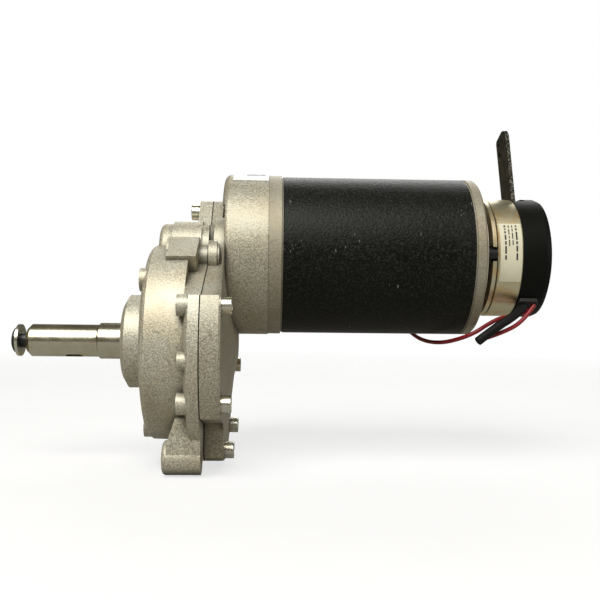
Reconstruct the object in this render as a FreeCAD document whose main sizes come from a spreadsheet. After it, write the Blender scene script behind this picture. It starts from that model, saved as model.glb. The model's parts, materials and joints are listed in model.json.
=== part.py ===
import FreeCAD, Part
import math
import os
import re
import Sketcher
from FreeCAD import Placement, Rotation, Vector

# Brushed DC gearmotor with an offset spur gearbox and a spring-applied brake.
# +X runs along the shafts from the output end towards the brake, +Z is up, millimetres.
# The origin is on the output axis, in the plane of the four tapped mounting holes.

DIMENSIONS = {
    # axes: motor and intermediate shaft, seen from the output axis
    "motor_y": 7.2, "motor_z": 47.2, "mid_y": 35.14, "mid_z": 30.46,
    # output shaft
    "shaft_tip": -63.5, "shaft_step": -26.3, "shaft_radius": 8.5, "collar_radius": 9.5,
    "bearing_seat": 10, "gear_seat": 11, "shaft_end": 42.5, "key_width": 5,
    "keyway_start": -43.4, "keyway_length": 9, "keyway_width": 4, "keyway_depth": 2.5,
    "end_bolt_radius": 4, "end_washer_radius": 8.4, "end_washer_front": -68.7,
    # gearbox casting
    "hub_face": -12, "hub_radius": 24.5, "seal_back": -5, "drum_face": 1.6, "boss_radius": 51,
    "rim_front": 23, "rim_radius": 62.2, "split": 31.2, "gasket": 0.6, "rim_back": 41.3,
    "back_radius": 50, "back_face": 47, "gear_room": 39.6, "lug_back": 37.3, "lug_front": 24.3,
    "ear_radius": 5.2, "screw_ring": 57,
    "mount_ring": 44.5, "mount_hole": 3.4, "mount_depth": 12, "mount_pad": 5.8,
    "mid_room": 29, "mid_wall": 33, "mid_boss": 15.5, "pinion_room": 9.5,
    "tail_boss": 16, "tail_boss_front": 5, "tail_step": 17.4, "tail_step_front": 12,
    "foot_hole": 3.4, "seal_radius": 15, "front_bearing": 18.5, "rear_bearing": 17.5,
    "small_bearing": 9.5, "tail_bearing": 7.5, "mid_journal": 4, "tail_journal": 3,
    # gears
    "output_gear_front": 10, "output_gear_width": 11.5, "drive_gear_front": 23.5, "drive_gear_width": 7,
    # motor
    "flange_front": 39.3, "flange_radius": 43, "cap_front": 62.6, "tube_front": 70, "tube_back": 166.2,
    "tube_radius": 42, "tube_wall": 3, "rear_face": 172, "rotor_radius": 7.5, "motor_bearing": 17.5,
    "bolt_ring": 36.4, "bolt_radius": 1.8, "core_radius": 30.4, "core_front": 84, "core_back": 137,
    "commutator_radius": 14, "commutator_front": 145, "commutator_back": 158,
    # brake
    "brake_radius": 31.8, "plate_back": 174.6, "disc_front": 174.7, "disc_back": 177.2,
    "armature_front": 177.3, "armature_back": 179.3, "magnet_front": 179.8, "magnet_back": 192.7,
    "cover_back": 208.6, "cover_wall": 1.5, "brake_screw_ring": 28, "disc_radius": 24, "spring_ring": 11.7,
    "stud_half_span": 11.7, "stud_height": 1.2, "lever_pivot_x": 197.9, "lever_pivot_drop": 3,
    "lever_thickness": 2, "lever_lean": 6, "lever_width": 18, "lever_tip": 69.2,
}

# radial clearance of a shaft in the bearing it turns in
RUNNING_FIT = 0.05
GEAR_CLEARANCE = 0.25
BACKLASH = 0.15
PRESSURE_ANGLE = math.radians(20)
GEAR_ADDENDUM = 0.75
OUTPUT_MODULE, OUTPUT_TEETH, MID_PINION_TEETH = 1.5, 50, 12
DRIVE_MODULE, DRIVE_TEETH, MOTOR_PINION_TEETH = 1.0, 53, 12
# the output keyway's angle from straight down, towards -Y
KEYWAY_ANGLE = 20
# angles of the casing screws around the output axis, from -Y towards -Z
CASE_SCREW_ANGLES = (-19.6, 28.4, 72.6, 121.7, 163.9)

doc = FreeCAD.newDocument("GearMotor")
sheet = doc.addObject("Spreadsheet::Sheet", "Dims")
for row, (alias, value) in enumerate(DIMENSIONS.items(), start=1):
    sheet.set(f"A{row}", alias)
    sheet.set(f"B{row}", str(value))
    sheet.setAlias(f"B{row}", alias)
doc.recompute()

nodes = []


def bound(expression):
    """The expression with every alias written as a cell of the sheet."""
    text = f"{expression:.6f}" if isinstance(expression, float) else str(expression)
    return re.sub(r"[a-z]\w*", lambda word: "Dims." + word.group(), text)


def size(expression):
    """The expression's value in millimetres."""
    return float(sheet.evalExpression(bound(expression)))


def bind(item, **expressions):
    """Bind the item's properties to the sheet; a double underscore stands for a dot."""
    for name, expression in expressions.items():
        item.setExpression(name.replace("__", "."), bound(expression))


def keep(item):
    """List a finished sub-part for export."""
    nodes.append(item)
    return item


def bind_point(sketch, edge, place, across, up):
    """Fix one sketch point at two expressions from the sketch's origin."""
    for kind, expression in (("DistanceX", across), ("DistanceY", up)):
        index = sketch.addConstraint(Sketcher.Constraint(kind, -1, 1, edge, place, size(expression)))
        sketch.setExpression(f"Constraints[{index}]", bound(expression))


def sketch_on(body, name, plane, offset="0"):
    """An empty sketch on one of the body's own origin planes."""
    sketch = body.newObject("Sketcher::SketchObject", name)
    base = next(item for item in body.Origin.OriginFeatures if item.Role == plane)
    sketch.AttachmentSupport = (base, "")
    sketch.MapMode = "FlatFace"
    bind(sketch, AttachmentOffset__Base__z=offset)
    return sketch


def draw_polygon(sketch, points):
    """A closed outline through the given points."""
    corners = [Vector(size(across), size(up), 0) for across, up in points]
    count = len(corners)
    first = sketch.GeometryCount
    for index in range(count):
        sketch.addGeometry(Part.LineSegment(corners[index], corners[(index + 1) % count]), False)
    for index in range(count):
        following = first + (index + 1) % count
        sketch.addConstraint(Sketcher.Constraint("Coincident", first + index, 2, following, 1))
    for index, (across, up) in enumerate(points):
        bind_point(sketch, first + index, 1, across, up)


def draw_circles(sketch, circles):
    """Circles given as (across, up, radius)."""
    for across, up, radius in circles:
        centre = Vector(size(across), size(up), 0)
        edge = sketch.addGeometry(Part.Circle(centre, Vector(0, 0, 1), size(radius)), False)
        bind_point(sketch, edge, 3, across, up)
        index = sketch.addConstraint(Sketcher.Constraint("Radius", edge, size(radius)))
        sketch.setExpression(f"Constraints[{index}]", bound(radius))


def new_body(label, y="0", z="0"):
    """A body whose own X axis is the axis at (y, z)."""
    body = doc.addObject("PartDesign::Body", label)
    bind(body, Placement__Base__y=y, Placement__Base__z=z)
    return body


def revolve(body, name, points):
    """Turn an (x, radius) outline about the body's X axis."""
    sketch = sketch_on(body, name + "_outline", "XZ_Plane")
    draw_polygon(sketch, points)
    feature = body.newObject("PartDesign::Revolution", name)
    feature.Profile = sketch
    feature.ReferenceAxis = (sketch, ["H_Axis"])
    feature.Angle = 360
    return feature


def turned(label, points, y="0", z="0"):
    """A turned sub-part: one (x, radius) outline about the axis at (y, z)."""
    body = new_body(label, y, z)
    revolve(body, label + "_turning", points)
    return keep(body)


def tube_points(start, end, inner, outer):
    """The outline of a plain ring."""
    return [(start, inner), (start, outer), (end, outer), (end, inner)]


def extrude(body, kind, name, start, length, circles=(), polygon=()):
    """Pad or pocket from the plane x = start along +X."""
    doc.recompute()
    before = body.Shape.Volume if body.Tip else 0
    sketch = sketch_on(body, name + "_sketch", "YZ_Plane", start)
    draw_circles(sketch, circles)
    if polygon:
        draw_polygon(sketch, polygon)
    feature = body.newObject("PartDesign::" + kind, name)
    feature.Profile = sketch
    feature.Reversed = kind == "Pocket"
    bind(feature, Length=length)
    doc.recompute()
    change = body.Shape.Volume - before
    if (kind == "Pocket" and change >= 0) or (kind == "Pad" and change <= 0):
        raise ValueError(f"{name} changes nothing")
    return feature


def pad(body, name, start, length, circles=(), polygon=()):
    return extrude(body, "Pad", name, start, length, circles, polygon)


def pad_across(body, name, start, length, polygon):
    """A pad of an (x, z) outline from the plane y = start along +Y."""
    sketch = sketch_on(body, name + "_sketch", "XZ_Plane", -start)
    draw_polygon(sketch, polygon)
    feature = body.newObject("PartDesign::Pad", name)
    feature.Profile = sketch
    feature.Reversed = True
    bind(feature, Length=length)
    return feature


def pocket(body, name, start, length, circles=(), polygon=()):
    return extrude(body, "Pocket", name, start, length, circles, polygon)


def polar(body, feature, count):
    """Repeat a feature around the body's X axis."""
    pattern = body.newObject("PartDesign::PolarPattern", feature.Name + "_ring")
    pattern.Originals = [feature]
    pattern.Axis = (next(item for item in body.Origin.OriginFeatures if item.Role == "X_Axis"), [""])
    pattern.Angle = 360
    pattern.Occurrences = count
    body.Tip = pattern
    doc.recompute()
    return pattern


def dress(body, kind, amount, wanted):
    """Fillet or chamfer the tip's edges that the test wants."""
    doc.recompute()
    tip = body.Tip
    names = [f"Edge{index}" for index, edge in enumerate(tip.Shape.Edges, start=1) if wanted(edge)]
    feature = body.newObject("PartDesign::" + kind, f"{body.Name}_{kind}_{len(body.Group)}")
    feature.Base = (tip, names)
    setattr(feature, "Radius" if kind == "Fillet" else "Size", amount)
    body.Tip = feature
    doc.recompute()
    if not names or not feature.Shape.isValid():
        raise ValueError(f"{feature.Name} has no valid edges")
    return feature


def ring_edge(x, radius, slack=0.05):
    """A test for the full circle of that radius in the plane x."""
    def wanted(edge):
        curve = edge.Curve
        return (isinstance(curve, Part.Circle) and abs(curve.Center.x - size(x)) < slack
                and abs(curve.Radius - size(radius)) < slack)
    return wanted


def shape_node(label, shape, y="0", z="0"):
    """A sub-part whose shape is worked out here, on the axis at (y, z)."""
    moved = shape.Placement.toMatrix()
    shape.Placement = Placement()
    feature = doc.addObject("Part::Feature", label)
    feature.Shape = shape.transformed(moved, copy=True)
    bind(feature, Placement__Base__y=y, Placement__Base__z=z)
    return keep(feature)


def rod(start, end, radius, y=0, z=0):
    """A plain cylinder along X."""
    return Part.makeCylinder(radius, end - start, Vector(start, y, z), Vector(1, 0, 0))


def around(radius, angle, y=0, z=0):
    """(y, z) of a point on a circle, the angle counted from -Y towards -Z."""
    turn = math.radians(angle)
    return y - radius * math.cos(turn), z - radius * math.sin(turn)


def turning(points, angle=360):
    """A solid turned about X from an (x, radius) outline, starting in the XZ plane."""
    corners = [Vector(x, 0, radius) for x, radius in points]
    face = Part.Face(Part.makePolygon(corners + corners[:1]))
    return face.revolve(Vector(0, 0, 0), Vector(1, 0, 0), angle)


# ---- gearbox ---------------------------------------------------------------

MOTOR = ("motor_y", "motor_z")
MIDDLE = ("mid_y", "mid_z")
TOP_LUG = (22.0, 71.5)
TOP_LUG_RADIUS = 6.5
PINION_WALL = 12.0
# a boss on the near side of the pinion wall, across the split
NEAR_BOSS = (-8.5, 44.5)
FOOT = (-35.0, -55.0)
FOOT_RADIUS = 8.4
FOOT_FRONT = 12.5
DOWEL_EAR_ANGLE = 6.5
# the first mounting hole's angle, from -Y towards -Z
MOUNT_ANGLE = 75
FAR_EAR = (64.5, 50.5)
# the rim is trimmed to this line on its upper near side
TRIM = [(-66, 24), (-52, 24), (-24, 36.5), (-4, 45), (-4, 70), (-66, 70)]
# the housing's rim is cut back beside the foot
FOOT_TRIM = [(-66, -34), (-50, -34), (-25, -40), (-25, -66), (-66, -66)]


def casing_ears(radius):
    """Screw ears on the ring around the output axis, and the far one by the intermediate gear."""
    ears = [around(size("screw_ring"), angle) for angle in CASE_SCREW_ANGLES]
    return [(y, z, radius) for y, z in ears + [FAR_EAR]]


def neck_outline(first, first_radius, second, second_radius):
    """The four tangent points that join two circles with straight sides."""
    along = Vector(second[0] - first[0], second[1] - first[1], 0)
    heading = math.atan2(along.y, along.x)
    spread = math.acos((first_radius - second_radius) / along.Length)
    points = []
    for side, ends in ((1, (first, second)), (-1, (second, first))):
        for end in ends:
            radius = first_radius if end is first else second_radius
            angle = heading + side * spread
            points.append((end[0] + radius * math.cos(angle), end[1] + radius * math.sin(angle)))
    return points


def upper_casing(body, name, start, length, wall_radius):
    """The upper part of the casing: pinion wall, top lug and the intermediate gear's wall."""
    motor = (size("motor_y"), size("motor_z"))
    middle = (size("mid_y"), size("mid_z"))
    pad(body, name + "_wall", start, length, circles=[(*MIDDLE, wall_radius)])
    pad(body, name + "_pinion", start, length, circles=[(*MOTOR, PINION_WALL)])
    pad(body, name + "_lug", start, length, circles=[(*TOP_LUG, TOP_LUG_RADIUS)])
    necks = ((motor, PINION_WALL, TOP_LUG, TOP_LUG_RADIUS), (middle, 31.0, TOP_LUG, TOP_LUG_RADIUS))
    for index, neck in enumerate(necks):
        pad(body, f"{name}_neck_{index}", start, length, polygon=neck_outline(*neck))


def gearbox_cover():
    body = new_body("gearbox_cover")
    revolve(body, "cover_shell", [
        ("hub_face", "seal_radius"), ("hub_face", "hub_radius - 4"), ("hub_face + 2.4", "hub_radius"),
        ("drum_face", "hub_radius"), ("drum_face", "boss_radius - 5"),
        ("drum_face + 0.6", "boss_radius - 2.4"), ("drum_face + 1.6", "boss_radius - 0.9"),
        ("drum_face + 3", "boss_radius"),
        ("rim_front", "boss_radius + 0.5"), ("rim_front + 2.4", "rim_radius - 0.8"),
        ("rim_front + 3.2", "rim_radius"), ("split", "rim_radius"), ("split", "gear_room"),
        ("output_gear_front - 1.5", "gear_room"), ("output_gear_front - 1.5", "front_bearing"),
        ("seal_back", "front_bearing"), ("seal_back", "seal_radius")])
    pocket(body, "cover_trim", "rim_front", "split - rim_front", polygon=TRIM)
    pad(body, "cover_ears", "rim_front - 2.4", "split - rim_front + 2.4", circles=casing_ears("ear_radius"))
    pad(body, "cover_dowel_ear", "rim_front - 1.4", "split - rim_front + 1.4",
        circles=[(*around(size("screw_ring") + 0.6, DOWEL_EAR_ANGLE), 4.3)])
    upper_casing(body, "cover_upper", "lug_front", "split - lug_front", "mid_wall")
    spots = [around(size("mount_ring"), MOUNT_ANGLE + 120 * turn) for turn in range(3)]
    pad(body, "cover_mount_pads", "0", "drum_face + 2", circles=[(y, z, "mount_pad") for y, z in spots])
    pad(body, "cover_mid_wall", "18", "split - 18", circles=[(*MIDDLE, "mid_wall")])
    pad(body, "cover_mid_boss", "-0.5", "25", circles=[(*MIDDLE, "mid_boss")])
    pad(body, "cover_tail_boss", "tail_boss_front", "split - tail_boss_front",
        circles=[(*MOTOR, "tail_boss")])
    pad(body, "cover_tail_step", "tail_step_front", "lug_front + 3 - tail_step_front",
        circles=[(*MOTOR, "tail_step")])
    pad(body, "cover_near_boss", "10.5", "16.3", circles=[(*NEAR_BOSS, 10.5)])
    pad(body, "cover_near_web", "12", "14.8", polygon=neck_outline(NEAR_BOSS, 10.5, (-24, 30.5), 15))
    pad(body, "cover_near_neck", "26", "split - 26", circles=[(*NEAR_BOSS, 6.5)])
    pad(body, "cover_foot", FOOT_FRONT, f"split - {FOOT_FRONT}", circles=[(*FOOT, FOOT_RADIUS)])
    pad_across(body, "cover_foot_web", FOOT[0] - FOOT_RADIUS + 0.4, 2 * FOOT_RADIUS - 2, polygon=[
        (FOOT_FRONT + 6.5, -35), ("split", -35), ("split", FOOT[1]), (FOOT_FRONT + 2.4, FOOT[1]),
        (FOOT_FRONT + 2.4, -47.5)])
    pocket(body, "cover_gear_room", "output_gear_front - 1.5", "split - output_gear_front + 1.5",
           circles=[(0, 0, "gear_room")])
    pocket(body, "cover_mid_room", "22.5", "split - 22.5", circles=[(*MIDDLE, "mid_room")])
    pocket(body, "cover_mid_pinion_room", "8.5", "split - 8.5", circles=[(*MIDDLE, 11.5)])
    pocket(body, "cover_mid_bearing", "3", "split - 3", circles=[(*MIDDLE, "small_bearing")])
    pocket(body, "cover_tail_bearing", "14", "split - 14", circles=[(*MOTOR, "tail_bearing")])
    pocket(body, "cover_pinion_room", "22", "split - 22", circles=[(*MOTOR, "pinion_room")])
    pocket(body, "cover_mount_holes", "0", "mount_depth",
           circles=[(y, z, "mount_hole") for y, z in spots])
    pocket(body, "cover_foot_hole", FOOT_FRONT, f"split - {FOOT_FRONT}",
           circles=[(*FOOT, "foot_hole")])
    pocket(body, "cover_screw_threads", "split - 8.5", "8.5", circles=casing_ears(2.5))
    pocket(body, "cover_lug_hole", "lug_front", "split - lug_front", circles=[(*TOP_LUG, 2.7)])
    dress(body, "Fillet", 3.0, ring_edge("tail_boss_front", "tail_boss"))
    dress(body, "Fillet", 2.0, ring_edge(FOOT_FRONT, FOOT_RADIUS))
    return keep(body)


def gearbox_housing():
    body = new_body("gearbox_housing")
    inner = "split + gasket"
    pad(body, "housing_flange", "flange_front", "cap_front - flange_front",
        circles=[(*MOTOR, "flange_radius")])
    dress(body, "Fillet", 4.0, ring_edge("flange_front", "flange_radius"))
    revolve(body, "housing_shell", [
        (inner, "rear_bearing"), (inner, "rim_radius"), ("rim_back - 1", "rim_radius"),
        ("rim_back", "rim_radius - 1"), ("rim_back", "back_radius"),
        ("back_face - 2.2", "rear_bearing + 1.5"), ("back_face", "8"), ("back_face", "0"),
        ("back_face - 4", "0"), ("back_face - 4", "rear_bearing")])
    pocket(body, "housing_trim", inner, "9", polygon=TRIM)
    pocket(body, "housing_foot_trim", inner, f"rim_back - ({inner})", polygon=FOOT_TRIM)
    pad(body, "housing_ears", inner, f"rim_back - ({inner})", circles=casing_ears("ear_radius"))
    upper_casing(body, "housing_upper", inner, f"lug_back - ({inner})", "mid_wall")
    pad(body, "housing_near_boss", inner, f"lug_back - ({inner}) - 1.2", circles=[(*NEAR_BOSS, 9)])
    pad(body, "housing_near_boss_end", inner, f"lug_back - ({inner})", circles=[(*NEAR_BOSS, 7.8)])
    pad(body, "housing_mid_wall", inner, f"rim_back - ({inner})", circles=[(*MIDDLE, "mid_wall")])
    pad(body, "housing_root", "split + 3", "flange_front - split", circles=[(*MOTOR, 20)])
    pocket(body, "housing_rear_bearing", inner, f"back_face - 4 - ({inner})",
           circles=[(0, 0, "rear_bearing")])
    pocket(body, "housing_seal_bore", inner, f"46.5 - ({inner})", circles=[(*MOTOR, "small_bearing")])
    pocket(body, "housing_motor_bearing", "46.5", "cap_front - 46.5",
           circles=[(*MOTOR, "motor_bearing")])
    pocket(body, "housing_cup", "57.5", "cap_front - 57.5", circles=[(*MOTOR, "flange_radius - 5")])
    pocket(body, "housing_mid_bearing", inner, "38 - (split + gasket)",
           circles=[(*MIDDLE, "small_bearing")])
    pocket(body, "housing_screw_holes", inner, f"rim_back - ({inner})", circles=casing_ears(2.7))
    pocket(body, "housing_lug_thread", inner, f"lug_back - ({inner})", circles=[(*TOP_LUG, 2.5)])
    return keep(body)


def gearbox_gasket():
    body = new_body("gearbox_gasket")
    pad(body, "gasket_ring", "split", "gasket", circles=[(0, 0, "rim_radius - 0.6")])
    pocket(body, "gasket_trim", "split", "gasket", polygon=TRIM)
    pocket(body, "gasket_foot_trim", "split", "gasket", polygon=FOOT_TRIM)
    upper_casing(body, "gasket_upper", "split", "gasket", "mid_wall - 0.4")
    pocket(body, "gasket_room", "split", "gasket", circles=[(0, 0, "gear_room + 0.5")])
    pocket(body, "gasket_mid_room", "split", "gasket", circles=[(*MIDDLE, "mid_room + 0.2")])
    pocket(body, "gasket_pinion_room", "split", "gasket", circles=[(*MOTOR, "pinion_room + 0.2")])
    near = casing_ears(2.7)[:-1] + [(*TOP_LUG, 2.7)]
    pocket(body, "gasket_screw_holes", "split", "gasket", circles=near)
    return keep(body)


def cap_screw(under_head, shank, y, z, way=1, thread=2.48, head=4.25, head_length=5.0):
    """A socket cap screw along X: its head lies on the way side of under_head."""
    low, high = sorted((under_head, under_head + way * head_length))
    body = rod(low, high, head, y, z).fuse(rod(*sorted((under_head, under_head - way * shank)), thread, y, z))
    key = 0.94 * thread
    corners = [Vector(0, y + key * math.cos(k * math.pi / 3), z + key * math.sin(k * math.pi / 3))
               for k in range(6)]
    socket = Part.Face(Part.makePolygon(corners + corners[:1])).extrude(Vector(0.5 * head_length, 0, 0))
    socket.translate(Vector(high - 0.5 * head_length if way > 0 else low, 0, 0))
    body = body.cut(socket)
    rim = [edge for edge in body.Edges if isinstance(edge.Curve, Part.Circle)
           and abs(edge.Curve.Radius - head) < 0.01 and abs(edge.Curve.Center.x - under_head) > 1]
    return body.makeFillet(0.12 * head, rim)


def bearing(label, start, width, inner, outer, y="0", z="0"):
    """A sealed ball bearing: both rings with the seals set back between them."""
    inner = f"{inner} + {RUNNING_FIT}"
    race = f"(({outer}) - ({inner})) * 0.24"
    end = f"({start}) + {width}"
    return turned(label, [
        (start, inner), (start, f"({inner}) + {race}"), (f"({start}) + 0.5", f"({inner}) + {race}"),
        (f"({start}) + 0.5", f"({outer}) - {race}"), (start, f"({outer}) - {race}"), (start, outer),
        (end, outer), (end, f"({outer}) - {race}"), (f"({end}) - 0.5", f"({outer}) - {race}"),
        (f"({end}) - 0.5", f"({inner}) + {race}"), (end, f"({inner}) + {race}"), (end, inner)], y, z)


def involute(angle):
    return math.tan(angle) - angle


def gear_outline(module, teeth, addendum, phase):
    """A spur gear's outline about the X axis; phase is the angle of one tooth's middle."""
    pitch, root = module * teeth / 2, module * teeth / 2 - (1 + GEAR_CLEARANCE) * module
    base, tip = pitch * math.cos(PRESSURE_ANGLE), pitch + addendum * module
    start = max(base, root)
    radii = [start + (tip - start) * step / 4 for step in range(5)]
    half_tooth = math.pi / (2 * teeth) - BACKLASH / (2 * pitch) + involute(PRESSURE_ANGLE)
    flank = [(radius, half_tooth - involute(math.acos(min(1, base / radius)))) for radius in radii]
    flank.insert(0, (root, flank[0][1]))
    points = []
    for tooth in range(teeth):
        middle = phase + 2 * math.pi * tooth / teeth
        points += [(radius, middle - half) for radius, half in flank]
        points += [(radius, middle + half) for radius, half in reversed(flank)]
    return [Vector(0, radius * math.cos(angle), radius * math.sin(angle)) for radius, angle in points]


def gear_blank(module, teeth, addendum, phase, start, width):
    corners = gear_outline(module, teeth, addendum, phase)
    blank = Part.Face(Part.makePolygon(corners + corners[:1])).extrude(Vector(width, 0, 0))
    blank.translate(Vector(start, 0, 0))
    return blank


def heading(first, second):
    """The angle of the line between two axes, from +Y towards +Z."""
    return math.atan2(second[1] - first[1], second[0] - first[0])


def spoked_gear(label, module, teeth, phase, start, width, bore, keyway, y="0", z="0"):
    """A large gear: toothed rim, thin web with round lightening holes and a keyed hub."""
    rim = module * teeth / 2 - 4.5 * module
    hub = bore + 5
    gear = gear_blank(module, teeth, GEAR_ADDENDUM, phase, start, width)
    recess = width * 0.28
    for low in (start, start + width - recess):
        gear = gear.cut(rod(low, low + recess, rim).cut(rod(low, low + recess, hub)))
    for step in range(6):
        hole_y, hole_z = around((rim + hub) / 2, 60 * step)
        gear = gear.cut(rod(start, start + width, (rim - hub) * 0.3, hole_y, hole_z))
    gear = gear.cut(rod(start, start + width, bore))
    if keyway:
        gear = gear.cut(Part.makeBox(width, keyway, bore + 2, Vector(start, -keyway / 2, 0)))
    return shape_node(label, gear, y, z)


def gear_train():
    output, motor, middle = (0, 0), (size("motor_y"), size("motor_z")), (size("mid_y"), size("mid_z"))
    to_middle = heading(output, middle)
    to_motor = heading(middle, motor)
    half_step = math.pi / MID_PINION_TEETH
    front, width = size("output_gear_front"), size("output_gear_width")
    spoked_gear("output_gear", OUTPUT_MODULE, OUTPUT_TEETH, to_middle, front, width,
                size("gear_seat"), size("key_width"))
    pinion = gear_blank(OUTPUT_MODULE, MID_PINION_TEETH, 1, to_middle + math.pi + half_step,
                        front - 0.5, width + 1)
    journal = size("mid_journal")
    pinion = pinion.fuse(rod(3, 38, journal)).fuse(rod(front + width + 0.5, 32, 6.0))
    shape_node("intermediate_pinion_shaft", pinion.removeSplitter(), *MIDDLE)
    drive_front, drive_width = size("drive_gear_front"), size("drive_gear_width")
    spoked_gear("intermediate_gear", DRIVE_MODULE, DRIVE_TEETH, to_motor, drive_front, drive_width,
                6.0, 0, *MIDDLE)
    motor_pinion = gear_blank(DRIVE_MODULE, MOTOR_PINION_TEETH, 1, to_motor + math.pi + half_step,
                              drive_front - 0.5, drive_width + 1)
    shape_node("motor_pinion", motor_pinion.cut(rod(20, 35, size("tail_journal"))), *MOTOR)


def cut_keyway(shaft):
    """The end-milled keyway near the shaft's free end: a box with a round end at each side."""
    doc.recompute()
    before = shaft.Shape.Volume
    turn = Rotation(Vector(1, 0, 0), -KEYWAY_ANGLE)
    start, half = size("keyway_start"), size("keyway_width / 2")
    low = -size("shaft_radius + 1")
    length = size("keyway_length")
    box = shaft.newObject("PartDesign::SubtractiveBox", "shaft_keyway")
    bind(box, Length="keyway_length - keyway_width", Width="keyway_width", Height="keyway_depth + 1")
    box.Placement = Placement(turn.multVec(Vector(start + half, -half, low)), turn)
    for name, along in (("outer", half), ("inner", length - half)):
        end = shaft.newObject("PartDesign::SubtractiveCylinder", f"shaft_keyway_{name}_end")
        bind(end, Radius="keyway_width / 2", Height="keyway_depth + 1")
        end.Placement = Placement(turn.multVec(Vector(start + along, 0, low)), turn)
    doc.recompute()
    if shaft.Shape.Volume >= before:
        raise ValueError("the keyway cuts nothing")


def output_train():
    """The output shaft with what turns with it and what carries it."""
    shaft = new_body("output_shaft")
    revolve(shaft, "shaft_turning", [
        ("shaft_tip", "0"), ("shaft_tip", "shaft_radius - 2.2"), ("shaft_tip + 2.2", "shaft_radius"),
        ("shaft_step - 0.3", "shaft_radius"), ("shaft_step", "collar_radius - 0.8"),
        ("shaft_step + 0.8", "collar_radius"), ("seal_back - 0.4", "collar_radius"),
        ("seal_back - 0.4", "bearing_seat"), ("6", "bearing_seat"), ("6", "13"),
        ("output_gear_front - 0.2", "13"), ("output_gear_front - 0.2", "gear_seat"),
        ("31", "gear_seat"), ("31", "shaft_radius"), ("shaft_end", "shaft_radius"), ("shaft_end", "0")])
    pocket(shaft, "shaft_end_thread", "shaft_tip", "22", circles=[(0, 0, "end_bolt_radius")])
    cut_keyway(shaft)
    gear_slot = shaft.newObject("PartDesign::SubtractiveBox", "shaft_gear_keyway")
    bind(gear_slot, Length="output_gear_width", Width="key_width", Height="4")
    gear_slot.Placement = Placement(Vector(size("output_gear_front"), -size("key_width") / 2,
                                           size("gear_seat") - 2.5), Rotation())
    keep(shaft)
    width = size("key_width")
    gear_key = Part.makeBox(size("output_gear_width"), width, 4.4,
                            Vector(size("output_gear_front"), -width / 2, size("gear_seat") - 2.5))
    shape_node("output_gear_key", gear_key)
    bolt = new_body("shaft_end_bolt")
    face = "end_washer_front"
    revolve(bolt, "bolt_turning", [
        (f"{face} - 2.4", "0"), (f"{face} - 2.4", "5.2"), (f"{face} - 1.7", "6.4"), (face, "6.6"),
        (face, "end_bolt_radius"), ("shaft_tip + 20", "end_bolt_radius"), ("shaft_tip + 20", "0")])
    hexagon = [(f"3 * {math.cos(k * math.pi / 3):.4f}", f"3 * {math.sin(k * math.pi / 3):.4f}")
               for k in range(6)]
    pocket(bolt, "bolt_socket", f"{face} - 2.4", "3", polygon=hexagon)
    keep(bolt)
    turned("shaft_end_washer", tube_points(face, f"{face} + 1.5", "end_bolt_radius", "end_washer_radius"))
    turned("output_seal", [
        ("hub_face + 0.6", "collar_radius + 0.05"), ("hub_face + 0.6", "collar_radius + 1.4"),
        ("hub_face + 1.6", "seal_radius - 1.6"), ("hub_face + 0.4", "seal_radius - 1.4"),
        ("hub_face + 0.4", "seal_radius"), ("seal_back - 0.5", "seal_radius"),
        ("seal_back - 0.5", "collar_radius + 0.05")])
    bearing("output_bearing_front", "seal_back", 9, "bearing_seat", "front_bearing")
    bearing("output_bearing_rear", "33", 10, "shaft_radius", "rear_bearing")
    bearing("intermediate_bearing_front", "3", 5, "mid_journal", "small_bearing", *MIDDLE)
    bearing("intermediate_bearing_rear", "32.6", 5, "mid_journal", "small_bearing", *MIDDLE)


def casing_screws():
    under_head = size("rim_back")
    screws = [cap_screw(under_head, 18, y, z) for y, z, _ in casing_ears(0)]
    shape_node("casing_screws", Part.makeCompound(screws))
    shape_node("top_lug_screw", cap_screw(size("lug_front"), 12.5, *TOP_LUG, way=-1))


# ---- motor -----------------------------------------------------------------

BRUSH_TOP = 27.0
BRUSH_X, BRUSH_LENGTH, BRUSH_WIDTH = 147.0, 9.0, 7.0
SLOTS = 12


def ring_sector(start, end, inner, outer, angle, middle):
    """A piece of a ring along X, its middle at the given angle from +Z."""
    sector = turning(tube_points(start, end, inner, outer), angle)
    sector.rotate(Vector(0, 0, 0), Vector(1, 0, 0), middle - angle / 2)
    return sector


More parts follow.
